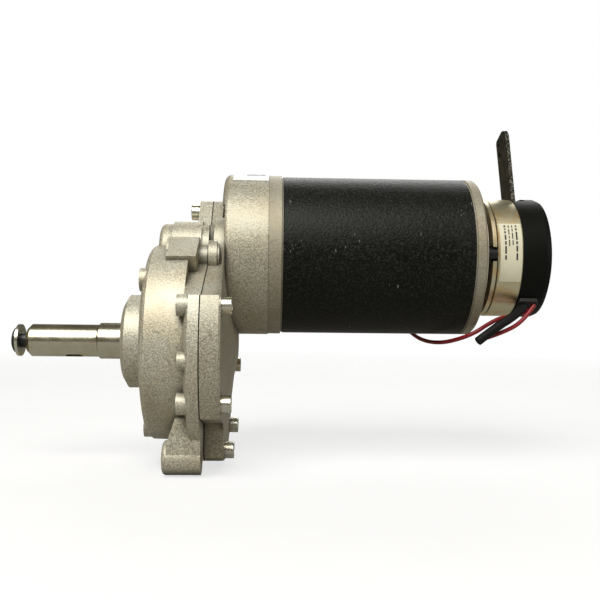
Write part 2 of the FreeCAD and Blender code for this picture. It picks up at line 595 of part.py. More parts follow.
def motor_stator():
    inner = "tube_radius - tube_wall"
    bolts = [around(size("bolt_ring"), angle) for angle in (0, 180)]
    shanks = [(y, z, "bolt_radius") for y, z in bolts]
    front_cap = new_body("motor_front_cap", *MOTOR)
    revolve(front_cap, "front_cap_turning", [
        ("cap_front", "38"), ("cap_front", "tube_radius + 0.6"), ("tube_front - 0.8", "tube_radius + 0.6"),
        ("tube_front - 0.8", "tube_radius - 0.4"), ("tube_front", "tube_radius - 0.4"),
        ("tube_front", f"{inner} - 0.1"), ("tube_front + 4", f"{inner} - 0.1"), ("tube_front + 4", "34"),
        ("cap_front + 3.5", "34"), ("cap_front + 3.5", "9"), ("cap_front", "9")])
    pocket(front_cap, "front_cap_threads", "cap_front + 3.4", "tube_front + 0.6 - cap_front", circles=shanks)
    keep(front_cap)
    turned("motor_tube", [
        ("tube_front", inner), ("tube_front", "tube_radius - 0.4"), ("tube_front + 0.4", "tube_radius"),
        ("tube_back - 0.4", "tube_radius"), ("tube_back", "tube_radius - 0.4"), ("tube_back", inner)],
        *MOTOR)
    magnets = [ring_sector(80, 141, size("core_radius") + 0.8, size(inner), 70, 45 + 90 * pole)
               for pole in range(4)]
    shape_node("field_magnets", Part.makeCompound(magnets), *MOTOR)
    rear_cap = new_body("motor_rear_cap", *MOTOR)
    revolve(rear_cap, "rear_cap_turning", [
        ("tube_back", "tube_radius - 0.4"), ("tube_back + 0.8", "tube_radius - 0.4"),
        ("tube_back + 0.8", "tube_radius"), ("rear_face - 1", "tube_radius"),
        ("rear_face", "tube_radius - 1"),
        ("rear_face", "rotor_radius + 3"), ("rear_face - 1.5", "rotor_radius + 3"),
        ("rear_face - 1.5", "motor_bearing"), ("160", "motor_bearing"), ("160", "motor_bearing + 3.5"),
        ("rear_face - 3.5", "motor_bearing + 3.5"), ("rear_face - 3.5", f"{inner} - 4"),
        ("tube_back - 4", f"{inner} - 4"), ("tube_back - 4", f"{inner} - 0.1"),
        ("tube_back", f"{inner} - 0.1")])
    pocket(rear_cap, "rear_cap_bolt_holes", "tube_back - 4", "rear_face + 4 - tube_back", circles=shanks)
    pocket(rear_cap, "rear_cap_head_recesses", "rear_face - 2", "2", circles=[(y, z, 3.05) for y, z in bolts])
    keep(rear_cap)
    bearing("motor_bearing_front", "46.8", 10.5, "rotor_radius", "motor_bearing", *MOTOR)
    bearing("motor_bearing_rear", "160.3", 10, "rotor_radius", "motor_bearing", *MOTOR)
    turned("motor_shaft_seal", tube_points("42", "46.4", "rotor_radius - 1.45", "small_bearing"), *MOTOR)
    bearing("rotor_tail_bearing", "14.3", 5, "tail_journal", "tail_bearing", *MOTOR)
    head_start, radius = size("rear_face - 2"), size("bolt_radius")
    tip, head_end = size("cap_front + 3.6"), head_start + 1.9
    screws = [rod(tip, head_start, radius, y, z).fuse(rod(head_start, head_end, 3, y, z)) for y, z in bolts]
    shape_node("motor_through_bolts", Part.makeCompound(screws), *MOTOR)


def motor_rotor():
    turned("rotor_shaft", [
        ("14.3", "0"), ("14.3", "tail_journal"), ("40", "tail_journal"), ("40", "rotor_radius - 1.5"),
        ("46.6", "rotor_radius - 1.5"), ("46.6", "rotor_radius"), ("core_front - 9", "rotor_radius"),
        ("core_front - 9", "rotor_radius + 1.5"), ("commutator_back + 1", "rotor_radius + 1.5"),
        ("commutator_back + 1", "rotor_radius"), ("rear_face + 0.6", "rotor_radius"),
        ("rear_face + 0.6", "6"), ("disc_back + 0.8", "6"), ("disc_back + 0.8", "0")], *MOTOR)
    core = new_body("rotor_core", *MOTOR)
    revolve(core, "core_stack", tube_points("core_front", "core_back", "rotor_radius + 1.5", "core_radius"))
    slot = pocket(core, "core_slot", "core_front", "core_back - core_front",
                  polygon=[(-1.2, 31), (-1.2, 28.5), (-3.4, 26.5), (-2.6, 19), (2.6, 19), (3.4, 26.5),
                           (1.2, 28.5), (1.2, 31)])
    polar(core, slot, SLOTS)
    keep(core)
    front, back = size("core_front"), size("core_back")
    coils = turning(tube_points(front - 7, front - 0.1, 15, 28)).fuse(
        turning(tube_points(back + 0.1, back + 7, 15, 28)))
    for index in range(SLOTS):
        y, z = around(23, 90 + 360 * index / SLOTS)
        coils = coils.fuse(rod(front - 1, back + 1, 2.3, y, z))
    shape_node("rotor_windings", coils, *MOTOR)
    commutator = new_body("commutator", *MOTOR)
    revolve(commutator, "commutator_ring", [
        ("commutator_front", "rotor_radius + 1.5"), ("commutator_front", "commutator_radius + 2"),
        ("commutator_front + 1.5", "commutator_radius + 2"),
        ("commutator_front + 1.5", "commutator_radius"), ("commutator_back", "commutator_radius"),
        ("commutator_back", "rotor_radius + 1.5")])
    gap = pocket(commutator, "commutator_gap", "commutator_front", "commutator_back - commutator_front",
                 polygon=[(-0.25, 13), (0.25, 13), (0.25, 17), (-0.25, 17)])
    polar(commutator, gap, 24)
    keep(commutator)


def motor_brushes():
    """Two carbon brushes pressed on the commutator from above and below by coil springs."""
    contact = size("commutator_radius") + 0.15
    plate = turning(tube_points(158.6, 160, 18, 38))
    for side in (-1, 1):
        plate = plate.cut(rod(158, 161, 2.4, side * size("bolt_ring")))
    for name, side in (("upper", 1), ("lower", -1)):
        low = min(side * 17, side * 36)
        guide = Part.makeBox(BRUSH_LENGTH + 3.8, BRUSH_WIDTH + 2.4, 19,
                             Vector(BRUSH_X - 1, -(BRUSH_WIDTH + 2.4) / 2, low))
        hole_low = min(side * 16, side * 34.8)
        guide = guide.cut(Part.makeBox(BRUSH_LENGTH + 0.2, BRUSH_WIDTH + 0.2, 18.8,
                                       Vector(BRUSH_X - 0.1, -(BRUSH_WIDTH + 0.2) / 2, hole_low)))
        plate = plate.fuse(guide)
        brush = Part.makeBox(BRUSH_LENGTH, BRUSH_WIDTH, BRUSH_TOP - contact,
                             Vector(BRUSH_X, -BRUSH_WIDTH / 2, min(side * contact, side * BRUSH_TOP)))
        shape_node(f"brush_{name}", brush, *MOTOR)
        spring = coil_spring(2.4, 0.35, BRUSH_TOP, 34.8, 5)
        spring.translate(Vector(BRUSH_X + BRUSH_LENGTH / 2, 0, 0))
        if side < 0:
            spring = spring.mirror(Vector(0, 0, 0), Vector(0, 0, 1))
        shape_node(f"brush_spring_{name}", spring, *MOTOR)
    shape_node("brush_holder", plate, *MOTOR)


def coil_spring(radius, wire, low, high, turns):
    """A helical spring along Z between two heights."""
    height = high - low - 2 * wire - 0.1
    helix = Part.makeHelix(height / turns, height, radius)
    profile = Part.Wire(Part.Circle(Vector(radius, 0, 0), Vector(0, 1, 0), wire).toShape())
    coil = Part.Wire(helix).makePipeShell([profile], True, True)
    coil.translate(Vector(0, 0, low + wire + 0.05))
    return coil


# ---- brake -----------------------------------------------------------------

LEVER_SLOT_HALF = 11.5
# the cable gland sits in the cover's lower near side, its angle counted from straight down
GLAND_ANGLE = 38.7
GLAND_START, GLAND_LENGTH, GLAND_WIDTH, GLAND_FACE = 193.4, 10.0, 8.4, 33.8
STUD_RADIUS = 1.2
PIN_RADIUS = 1.5


def brake():
    turned("brake_mounting_plate", tube_points("rear_face", "plate_back", "11", "33"), *MOTOR)
    turned("brake_hub", tube_points("rear_face + 1", "disc_back + 0.6", "6", "9"), *MOTOR)
    disc = new_body("brake_friction_disc", *MOTOR)
    revolve(disc, "disc_ring", tube_points("disc_front", "disc_back", "9", "disc_radius"))
    keep(disc)
    screw_ring = [around(size("brake_screw_ring"), angle) for angle in (0, 120, 240)]
    studs = [(-size("stud_half_span"), size("stud_height")), (size("stud_half_span"), size("stud_height"))]
    armature = new_body("brake_armature_plate", *MOTOR)
    revolve(armature, "armature_ring",
            tube_points("armature_front", "armature_back", "10", "brake_radius - 0.3"))
    pocket(armature, "armature_screw_slots", "armature_front", "armature_back - armature_front",
           circles=[(y, z, 4.9) for y, z in screw_ring])
    pocket(armature, "armature_stud_holes", "armature_front", "armature_back - armature_front",
           circles=[(y, z, STUD_RADIUS) for y, z in studs])
    keep(armature)
    magnet = new_body("brake_magnet_body", *MOTOR)
    revolve(magnet, "magnet_turning", [
        ("magnet_front", "10"), ("magnet_front", "13.5"), ("magnet_front + 8", "13.5"),
        ("magnet_front + 8", "24"), ("magnet_front", "24"), ("magnet_front", "brake_radius - 0.4"),
        ("magnet_front + 0.4", "brake_radius"), ("magnet_back", "brake_radius"), ("magnet_back", "10")])
    length = "magnet_back - magnet_front"
    pocket(magnet, "magnet_screw_holes", "magnet_front", length, circles=[(y, z, 2.1) for y, z in screw_ring])
    pocket(magnet, "magnet_stud_holes", "magnet_front", length,
           circles=[(y, z, STUD_RADIUS + 0.3) for y, z in studs])
    springs = [around(size("spring_ring"), angle) for angle in (90, 210, 330)]
    pocket(magnet, "magnet_spring_holes", "magnet_front", "9", circles=[(y, z, 1.6) for y, z in springs])
    keep(magnet)
    turned("brake_coil", tube_points("magnet_front + 0.6", "magnet_front + 7.8", "13.8", "23.7"), *MOTOR)
    wires = []
    for y, z in springs:
        spring = coil_spring(1.1, 0.25, 0.05, 9, 7)
        spring.rotate(Vector(0, 0, 0), Vector(0, 1, 0), 90)
        spring.translate(Vector(size("magnet_front"), y, z))
        wires.append(spring)
    shape_node("brake_springs", Part.makeCompound(wires), *MOTOR)
    head_length = size("magnet_front - plate_back")
    screws = [cap_screw(size("magnet_front"), size("magnet_back - magnet_front") - 2, y, z, way=-1,
                        thread=2.0, head=3.6, head_length=head_length) for y, z in screw_ring]
    shape_node("brake_screws", Part.makeCompound(screws), *MOTOR)
    pins = []
    for y, z in studs:
        pin = rod(size("armature_front") + 0.2, 202.5, STUD_RADIUS, y, z)
        pins.append(pin.fuse(rod(199.0, 200.8, 2.2, y, z)))
    shape_node("release_studs", Part.makeCompound(pins), *MOTOR)


def release_lever():
    """The hand lever: a flat plate with a rolled hinge at its foot, leaning towards the gearbox."""
    pivot = Vector(size("lever_pivot_x"), 0, -size("lever_pivot_drop"))
    thick, half = size("lever_thickness"), size("lever_width") / 2
    tip = (size("lever_tip") - pivot.z) / math.cos(math.radians(size("lever_lean")))
    corners = [Vector(0, y, z) for y, z in (
        (-24, 0), (-24, 9), (-half, 14), (-half, tip - 3), (-half + 3, tip), (-2, tip), (half, tip - 3.5),
        (half, 14), (24, 9), (24, 0))]
    plate = Part.Face(Part.makePolygon(corners + corners[:1])).extrude(Vector(thick, 0, 0))
    plate.translate(Vector(-thick / 2, 0, 0))
    upright = [edge for edge in plate.Edges if abs(edge.BoundBox.XLength - thick) < 0.01]
    plate = plate.makeFillet(2.5, [edge for edge in upright if edge.BoundBox.ZMin > tip - 12])
    for across, height, radius in ((5, tip - 6.2, 1.3), (5, tip - 12.6, 2.6)):
        plate = plate.cut(rod(-thick, thick, radius, across, height))
    barrel = Part.makeCylinder(2.75, 16, Vector(0, -8, 0), Vector(0, 1, 0))
    bore = Part.makeCylinder(PIN_RADIUS + 0.05, 60, Vector(0, -30, 0), Vector(0, 1, 0))
    plate = plate.fuse(barrel).cut(bore)
    for side in (-1, 1):
        plate = plate.cut(rod(-6, 6, STUD_RADIUS + 0.6, side * size("stud_half_span"),
                              size("stud_height") - pivot.z))
    plate.rotate(Vector(0, 0, 0), Vector(0, 1, 0), -size("lever_lean"))
    plate.translate(pivot)
    shape_node("release_lever", plate, *MOTOR)
    pin = Part.makeCylinder(PIN_RADIUS, 53.6, Vector(pivot.x, -26.8, pivot.z), Vector(0, 1, 0))
    shape_node("lever_pivot_pin", pin, *MOTOR)
    ears = []
    back = size("magnet_back")
    for side in (-1, 1):
        ear = Part.makeBox(pivot.x - back + 2.6, 2, 6, Vector(back, side * 25.4 - 1, pivot.z - 3))
        pin_hole = Part.makeCylinder(PIN_RADIUS, 60, Vector(pivot.x, -30, pivot.z), Vector(0, 1, 0))
        ears.append(ear.cut(pin_hole))
    shape_node("lever_brackets", Part.makeCompound(ears), *MOTOR)


def gland_placement(radius):
    """The corner of the cable gland's box at that distance from the motor axis."""
    turn = Rotation(Vector(1, 0, 0), 180 - GLAND_ANGLE)
    corner = Vector(GLAND_START, -GLAND_WIDTH / 2, radius)
    return Placement(turn.multVec(corner), turn)


def brake_cover():
    body = new_body("brake_cover", *MOTOR)
    revolve(body, "cover_cup", [
        ("magnet_back", "brake_radius - cover_wall"), ("magnet_back", "brake_radius + 0.3"),
        ("cover_back - 3.4", "brake_radius + 0.3"), ("cover_back - 1", "brake_radius - 0.7"),
        ("cover_back", "brake_radius - 3.1"), ("cover_back", "0"), ("cover_back - cover_wall", "0"),
        ("cover_back - cover_wall", "brake_radius - 4.2"), ("cover_back - 3.4", "brake_radius - cover_wall")])
    slot = body.newObject("PartDesign::SubtractiveBox", "cover_lever_slot")
    bind(slot, Length="7.2", Width=str(2 * LEVER_SLOT_HALF), Height="9")
    corner = Vector(size("magnet_back"), -LEVER_SLOT_HALF, size("brake_radius") - 6)
    slot.Placement = Placement(corner, Rotation())
    doc.recompute()
    screws = [around(22, angle) for angle in (40, 140)]
    opening = body.newObject("PartDesign::SubtractiveBox", "cover_gland_opening")
    bind(opening, Length=GLAND_LENGTH, Width=GLAND_WIDTH, Height="6")
    opening.Placement = gland_placement(29)
    doc.recompute()
    pocket(body, "cover_screw_holes", "cover_back - cover_wall", "cover_wall",
           circles=[(y, z, 1.7) for y, z in screws])
    keep(body)
    posts = [rod(size("magnet_back"), size("cover_back - cover_wall"), 3.2, y, z) for y, z in screws]
    shape_node("cover_posts", Part.makeCompound(
        [post.cut(rod(198, 210, 1.5, y, z)) for post, (y, z) in zip(posts, screws)]), *MOTOR)
    heads = [cap_screw(size("cover_back"), 9, y, z, thread=1.48, head=2.8, head_length=1.8)
             for y, z in screws]
    shape_node("cover_screws", Part.makeCompound(heads), *MOTOR)


# ---- leads and labels ------------------------------------------------------

# routes of the leads from the gland, relative to the motor axis
BRAKE_LEAD = [(196.6, -21.1, -26.4), (191, -25.6, -31.1), (179.9, -29.2, -37.2), (169.6, -32, -44.6)]
SHORT_RED_LEAD = [(201.8, -22, -25.6), (195.4, -24, -34.6), (182.2, -27.2, -40.8), (174, -26.2, -43.5)]
LONG_RED_LEAD = [
    (200.5, -19.1, -28), (192.5, -19.4, -32), (184.5, -20.8, -32.4), (177, -22.2, -36.2),
    (170.2, -24.2, -40.4), (163.2, -20.5, -43.8), (156.4, -8, -46.6), (150, 6, -46.4), (145, 17.9, -42.9),
    (141, 28.7, -36.4), (138, 37.7, -27.5), (136, 44, -15.9), (134.8, 46.8, -3.1)]
BRAKE_LEAD_DIAMETER, RED_LEAD_DIAMETER = 4.6, 2.2


def cord(label, route, diameter):
    """A free lead: straight runs joined by arcs as large as the runs allow."""
    corners = [Vector(*point) for point in route]
    edges, start, radii = [], corners[0], []
    for before, corner, after in zip(corners, corners[1:], corners[2:]):
        back, ahead = before - corner, after - corner
        reach = 0.45 * min(back.Length, ahead.Length)
        back.normalize()
        ahead.normalize()
        half_turn = (math.pi - back.getAngle(ahead)) / 2
        radius = reach / math.tan(half_turn)
        inward = (back + ahead).normalize()
        middle = corner + inward * (radius / math.cos(half_turn) - radius)
        edges.append(Part.LineSegment(start, corner + back * reach).toShape())
        edges.append(Part.Arc(corner + back * reach, middle, corner + ahead * reach).toShape())
        start = corner + ahead * reach
        radii.append(round(radius, 1))
    edges.append(Part.LineSegment(start, corners[-1]).toShape())
    path = Part.Wire(edges)
    section = Part.Wire(Part.Circle(corners[0], corners[1] - corners[0], diameter / 2).toShape())
    tube = path.makePipeShell([section], True, False)
    expected = math.pi * diameter ** 2 / 4 * path.Length
    print(label, "length", round(path.Length, 1), "radii", radii, "volume", round(tube.Volume / expected, 4))
    shape_node(label, tube, *MOTOR)


def leads():
    gland = Part.makeBox(GLAND_LENGTH, GLAND_WIDTH, GLAND_FACE - 30.2)
    gland = gland.makeFillet(1.2, [edge for edge in gland.Edges if edge.BoundBox.ZLength > 3])
    gland.Placement = gland_placement(30.2)
    shape_node("cable_gland", gland, *MOTOR)
    cord("brake_lead", BRAKE_LEAD, BRAKE_LEAD_DIAMETER)
    cord("motor_lead_short", SHORT_RED_LEAD, RED_LEAD_DIAMETER)
    cord("motor_lead_long", LONG_RED_LEAD, RED_LEAD_DIAMETER)
    end, before = Vector(*LONG_RED_LEAD[-1]), Vector(*LONG_RED_LEAD[-2])
    along = (end - before).normalize()
    terminal = Part.makeCylinder(2.0, 9, end, along).fuse(Part.makeCylinder(1.5, 15, end, along))
    shape_node("lead_terminal", terminal, *MOTOR)


def labels():
    """Blank stickers on the motor flange and on the brake."""
    radius = size("flange_radius")
    shape_node("gearbox_label", ring_sector(44, 62.4, radius + 0.02, radius + 0.2, 41, 10.5), *MOTOR)
    radius = size("brake_radius")
    shape_node("brake_label", ring_sector(180.9, 192.2, radius + 0.02, radius + 0.2, 56, 88), *MOTOR)


gearbox_cover()
gearbox_housing()
gearbox_gasket()
gear_train()
output_train()
casing_screws()
motor_stator()
motor_rotor()
motor_brushes()
brake()
release_lever()
brake_cover()
leads()
labels()

doc.recompute()
for item in doc.Objects:
    if {"Invalid", "Error"} & set(item.State):
        raise ValueError(f"{item.Name} failed: {item.State}")
os.makedirs("parts", exist_ok=True)
for node in nodes:
    if node.Shape.isNull() or not node.Shape.isValid():
        raise ValueError(f"{node.Label} has no valid shape")
    node.Shape.exportStep(f"parts/{node.Label}.step")
    print(node.Label, len(node.Shape.Solids), round(node.Shape.Volume))
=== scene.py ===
import json
import math

import bmesh
import bpy
from mathutils import Matrix, Vector


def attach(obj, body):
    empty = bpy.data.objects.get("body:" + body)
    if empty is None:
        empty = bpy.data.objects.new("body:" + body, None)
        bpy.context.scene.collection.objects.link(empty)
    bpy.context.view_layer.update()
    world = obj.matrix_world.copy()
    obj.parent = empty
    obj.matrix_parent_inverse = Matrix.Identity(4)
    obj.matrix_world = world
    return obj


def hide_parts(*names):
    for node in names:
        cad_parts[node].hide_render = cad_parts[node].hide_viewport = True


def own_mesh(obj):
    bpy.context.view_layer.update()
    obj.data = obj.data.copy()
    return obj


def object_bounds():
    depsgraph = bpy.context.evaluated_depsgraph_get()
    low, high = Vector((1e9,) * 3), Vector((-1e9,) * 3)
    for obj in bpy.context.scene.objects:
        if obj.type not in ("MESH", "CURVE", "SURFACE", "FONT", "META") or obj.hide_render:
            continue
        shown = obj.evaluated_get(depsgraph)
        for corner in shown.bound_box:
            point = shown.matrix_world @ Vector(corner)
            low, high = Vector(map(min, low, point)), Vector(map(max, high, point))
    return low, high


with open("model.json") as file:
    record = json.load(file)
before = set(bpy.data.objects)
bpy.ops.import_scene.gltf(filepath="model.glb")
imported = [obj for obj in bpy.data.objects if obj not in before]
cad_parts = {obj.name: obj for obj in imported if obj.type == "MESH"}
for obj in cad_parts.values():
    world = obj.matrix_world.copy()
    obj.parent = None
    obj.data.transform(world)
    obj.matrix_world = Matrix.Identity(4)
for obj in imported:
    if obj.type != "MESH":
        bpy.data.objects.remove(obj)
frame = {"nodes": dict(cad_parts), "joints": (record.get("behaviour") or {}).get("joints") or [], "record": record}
cad_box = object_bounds()

MM = 0.001
RECORD = frame["record"]
# the motor's axis, which the leads, the stickers and the turned surfaces are measured from
MOTOR = Vector(next(joint["pos_m"] for joint in frame["joints"] if joint["name"] == "rotor_spin"))


def from_motor(x, y, z):
    """A point given in millimetres from the motor's axis, in the row frame."""
    return MOTOR + Vector((x, y, z)) * MM


def add_object(name, data):
    """A new object for the data, in the scene."""
    added = bpy.data.objects.new(name, data)
    bpy.context.scene.collection.objects.link(added)
    return added


# ---- camera ----------------------------------------------------------------

CAMERA_TARGET = Vector((80.0, 7.2, 22.94)) * MM
CAMERA_DISTANCE = 425.93 * MM
CAMERA_YAW, CAMERA_PITCH, CAMERA_ROLL = 0.0356, 0.012, 0.0112
LENS, SENSOR = 46.87, 36.0
NEAR_CLIP, FAR_CLIP = 0.01, 20


def make_camera():
    yaw, pitch, roll = CAMERA_YAW, CAMERA_PITCH, CAMERA_ROLL
    right = Vector((math.cos(yaw), -math.sin(yaw), 0))
    ahead = Vector((math.sin(yaw) * math.cos(pitch), math.cos(yaw) * math.cos(pitch), math.sin(pitch)))
    up = right.cross(ahead)
    turned_right = right * math.cos(roll) + up * math.sin(roll)
    turned_up = up * math.cos(roll) - right * math.sin(roll)
    data = bpy.data.cameras.new("camera")
    data.lens, data.sensor_width = LENS, SENSOR
    data.clip_start, data.clip_end = NEAR_CLIP, FAR_CLIP
    camera = add_object("camera", data)
    axes = Matrix((turned_right, turned_up, -ahead)).transposed()
    camera.matrix_world = Matrix.Translation(CAMERA_TARGET - ahead * CAMERA_DISTANCE) @ axes.to_4x4()
    bpy.context.scene.camera = camera


make_camera()

# ---- leads -----------------------------------------------------------------

# routes from the cable gland, in millimetres from the motor's axis
BRAKE_LEAD = [(196.6, -21.1, -26.4), (191, -25.6, -31.1), (179.9, -29.2, -37.2), (169.6, -32, -44.6)]
SHORT_RED_LEAD = [(201.8, -22, -25.6), (195.4, -24, -34.6), (182.2, -27.2, -40.8), (174, -26.2, -43.5)]
LONG_RED_LEAD = [
    (200.5, -19.1, -28), (192.5, -19.4, -32), (184.5, -20.8, -32.4), (177, -22.2, -36.2),
    (170.2, -24.2, -40.4), (163.2, -20.5, -43.8), (156.4, -8, -46.6), (150, 6, -46.4), (145, 17.9, -42.9),
    (141, 28.7, -36.4), (138, 37.7, -27.5), (136, 44, -15.9), (134.8, 46.8, -3.1)]
BRAKE_LEAD_DIAMETER, RED_LEAD_DIAMETER = 4.6 * MM, 2.2 * MM
BEVEL_STEPS, CURVE_STEPS = 6, 16


def lead_curve(name, route, diameter):
    curve = bpy.data.curves.new(name, "CURVE")
    curve.dimensions = "3D"
    curve.bevel_depth = 1
    curve.bevel_resolution = BEVEL_STEPS
    curve.resolution_u = CURVE_STEPS
    curve.use_fill_caps = True
    spline = curve.splines.new("NURBS")
    spline.points.add(len(route) - 1)
    for point, place in zip(spline.points, route):
        point.co = (*from_motor(*place), 1)
        # the bevel of 1 times the point's radius is the lead's own, and keeps the curve's box to its size
        point.radius = diameter / 2
    spline.order_u = 3
    spline.use_endpoint_u = True
    return add_object(name, curve)


def add_lead(name, node, route, diameter):
    lead = lead_curve(name, route, diameter)
    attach(lead, "casing")
    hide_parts(node)
    return lead


black_lead = add_lead("brake_lead_sheath", "brake_lead", BRAKE_LEAD, BRAKE_LEAD_DIAMETER)
short_lead = add_lead("motor_lead_short_wire", "motor_lead_short", SHORT_RED_LEAD, RED_LEAD_DIAMETER)
long_lead = add_lead("motor_lead_long_wire", "motor_lead_long", LONG_RED_LEAD, RED_LEAD_DIAMETER)

# ---- materials -------------------------------------------------------------


class Surface:
    """A node material: the Principled shader and what feeds it, in the object's own coordinates."""

    def __init__(self, name, metallic=0.0, roughness=0.5, **sockets):
        self.material = bpy.data.materials.new(name)
        self.material.use_nodes = True
        self.nodes = self.material.node_tree.nodes
        self.links = self.material.node_tree.links
        self.shader = self.nodes["Principled BSDF"]
        self.shader.inputs["Metallic"].default_value = metallic
        self.shader.inputs["Roughness"].default_value = roughness
        for socket, value in sockets.items():
            self.shader.inputs[socket.replace("_", " ")].default_value = value
        self.place = self.nodes.new("ShaderNodeTexCoord").outputs["Object"]
        self.normal = None

    def noise(self, grain, stretch=(1, 1, 1), detail=3.0):
        """Noise with features about grain metres across, longer along an axis by its stretch."""
        mapping = self.nodes.new("ShaderNodeMapping")
        mapping.inputs["Scale"].default_value = [1 / (grain * along) for along in stretch]
        self.links.new(self.place, mapping.inputs["Vector"])
        noise = self.nodes.new("ShaderNodeTexNoise")
        noise.inputs["Scale"].default_value = 1.0
        noise.inputs["Detail"].default_value = detail
        self.links.new(mapping.outputs["Vector"], noise.inputs["Vector"])
        return noise.outputs["Fac"]

    def spread(self, factor, low, high, start=0.3, end=0.7):
        """The factor's start to end stretched over low to high."""
        node = self.nodes.new("ShaderNodeMapRange")
        for name, value in (("From Min", start), ("From Max", end), ("To Min", low), ("To Max", high)):
            node.inputs[name].default_value = value
        self.links.new(factor, node.inputs["Value"])
        return node.outputs["Result"]

    def ramp(self, factor, *stops):
        """Colours along the factor, each stop a position and a colour."""
        node = self.nodes.new("ShaderNodeValToRGB")
        while len(node.color_ramp.elements) < len(stops):
            node.color_ramp.elements.new(0.5)
        for element, (position, color) in zip(node.color_ramp.elements, stops):
            element.position = position
            element.color = (*color, 1)
        self.links.new(factor, node.inputs["Fac"])
        return node.outputs["Color"]

    def mix(self, factor, first, second, mode="MIX"):
        node = self.nodes.new("ShaderNodeMix")
        node.data_type = "RGBA"
        node.blend_type = mode
        sockets = ((node.inputs["Factor"], factor), (node.inputs[6], first), (node.inputs[7], second))
        for socket, value in sockets:
            if isinstance(value, bpy.types.NodeSocket):
                self.links.new(value, socket)
            elif isinstance(value, tuple):
                socket.default_value = (*value, 1)
            else:
                socket.default_value = value
        return node.outputs[2]

    def painted_crevice_shade(self, color, crevice_shade_color, distance=5 * MM, strength=0.75):
        """Painted shade: the colour darkened by ambient occlusion where surfaces meet."""
        node = self.nodes.new("ShaderNodeAmbientOcclusion")
        node.inputs["Distance"].default_value = distance
        node.samples = 8
        painted_shade_mask = self.spread(node.outputs["AO"], strength, 0.0, 0.35, 0.95)
        return self.mix(painted_shade_mask, color, crevice_shade_color)

    def color(self, socket):
        self.links.new(socket, self.shader.inputs["Base Color"])

    def rough(self, factor, low, high):
        self.links.new(self.spread(factor, low, high), self.shader.inputs["Roughness"])

    def bump(self, height, depth):
        """Relief of about depth metres, on top of any relief so far."""
        node = self.nodes.new("ShaderNodeBump")
        node.inputs["Distance"].default_value = depth
        self.links.new(height, node.inputs["Height"])
        if self.normal:
            self.links.new(self.normal, node.inputs["Normal"])
        self.normal = node.outputs["Normal"]
        self.links.new(self.normal, self.shader.inputs["Normal"])


# how far the lever's worn edge, which also carries a painted edge highlight, stands from the motor's axis
LEVER_WEAR_AND_HIGHLIGHT_EDGE = 8.6 * MM


def shade(color, factor):
    return tuple(min(1.0, channel * factor) for channel in color)


def cast_metal(name, color, grain=0.7 * MM, contrast=0.38, relief=0.09 * MM, roughness=0.5, metallic=0.55):
    """Shot-blasted casting: an even speckle, cloudy warm stains and painted shade in the creases."""
    surface = Surface(name, metallic, roughness)
    speckle = surface.noise(grain, detail=2.0)
    cloud = surface.noise(18 * MM, detail=4.0)
    base = surface.ramp(speckle, (0.32, shade(color, 1 - contrast)), (0.5, color),
                        (0.68, shade(color, 1 + contrast)))
    stained = surface.mix(surface.spread(cloud, 0.0, 0.8), base, (0.89, 0.80, 0.68), "MULTIPLY")
    # painted shade: creases darkened by ambient occlusion towards 0.22 of the casting's colour
    surface.color(surface.painted_crevice_shade(stained, shade(color, 0.22)))
    surface.rough(speckle, roughness - 0.08, roughness + 0.12)
    surface.bump(speckle, relief)
    return surface.material


def turned_metal(name, color, roughness=0.25, line=0.12 * MM, relief=0.004 * MM, metallic=1.0, tint=None):
    """Metal turned or ground about X: fine rings, a little staining and smudges."""
    surface = Surface(name, metallic, roughness)
    rings = surface.noise(line, stretch=(1, 60, 60), detail=2.0)
    cloud = surface.noise(9 * MM, detail=5.0)
    base = surface.ramp(rings, (0.3, shade(color, 0.86)), (0.7, shade(color, 1.08)))
    stain = tint or shade(color, 0.75)
    surface.color(surface.mix(surface.spread(cloud, 0.0, 0.5, 0.45, 0.75), base, stain))
    surface.rough(cloud, roughness - 0.04, roughness + 0.1)
    surface.bump(rings, relief)
    return surface.material


def plated_metal(name, color, roughness=0.28, tints=((0.9, 0.95, 0.85), (1.0, 0.9, 0.75)), metallic=1.0):
    """Zinc or oxide plating: patches of slightly different hue, small scuffs and painted shade in the creases."""
    surface = Surface(name, metallic, roughness)
    hue = surface.noise(7 * MM, detail=3.0)
    fine = surface.noise(0.5 * MM, detail=4.0)
    cool = tuple(a * b for a, b in zip(color, tints[0]))
    warm = tuple(min(1, a * b) for a, b in zip(color, tints[1]))
    base = surface.ramp(hue, (0.36, cool), (0.5, color), (0.64, warm))
    scuffed = surface.mix(surface.spread(fine, 0.0, 0.35, 0.5, 0.8), base, shade(color, 0.6))
    # painted shade: creases darkened by ambient occlusion towards 0.15 of the plating's colour within 2 mm
    surface.color(surface.painted_crevice_shade(scuffed, shade(color, 0.15), 2 * MM, 0.6))
    surface.rough(fine, roughness - 0.06, roughness + 0.16)
    surface.bump(fine, 0.01 * MM)
    return surface.material


def moulded(name, color, roughness=0.5, grain=0.4 * MM, relief=0.03 * MM, variation=0.25, **sockets):
    """Plastic, rubber, paint or lining with a fine even grain and slow changes of tone."""
    surface = Surface(name, 0.0, roughness, **sockets)
    fine = surface.noise(grain, detail=2.0)
    cloud = surface.noise(14 * MM, detail=4.0)
    base = surface.ramp(cloud, (0.3, shade(color, 1 - variation)), (0.7, shade(color, 1 + variation)))
    surface.color(surface.mix(surface.spread(fine, 0.0, 0.4), base, shade(color, 0.65)))
    surface.rough(fine, roughness - 0.05, roughness + 0.1)
    surface.bump(fine, relief)
    return surface.material


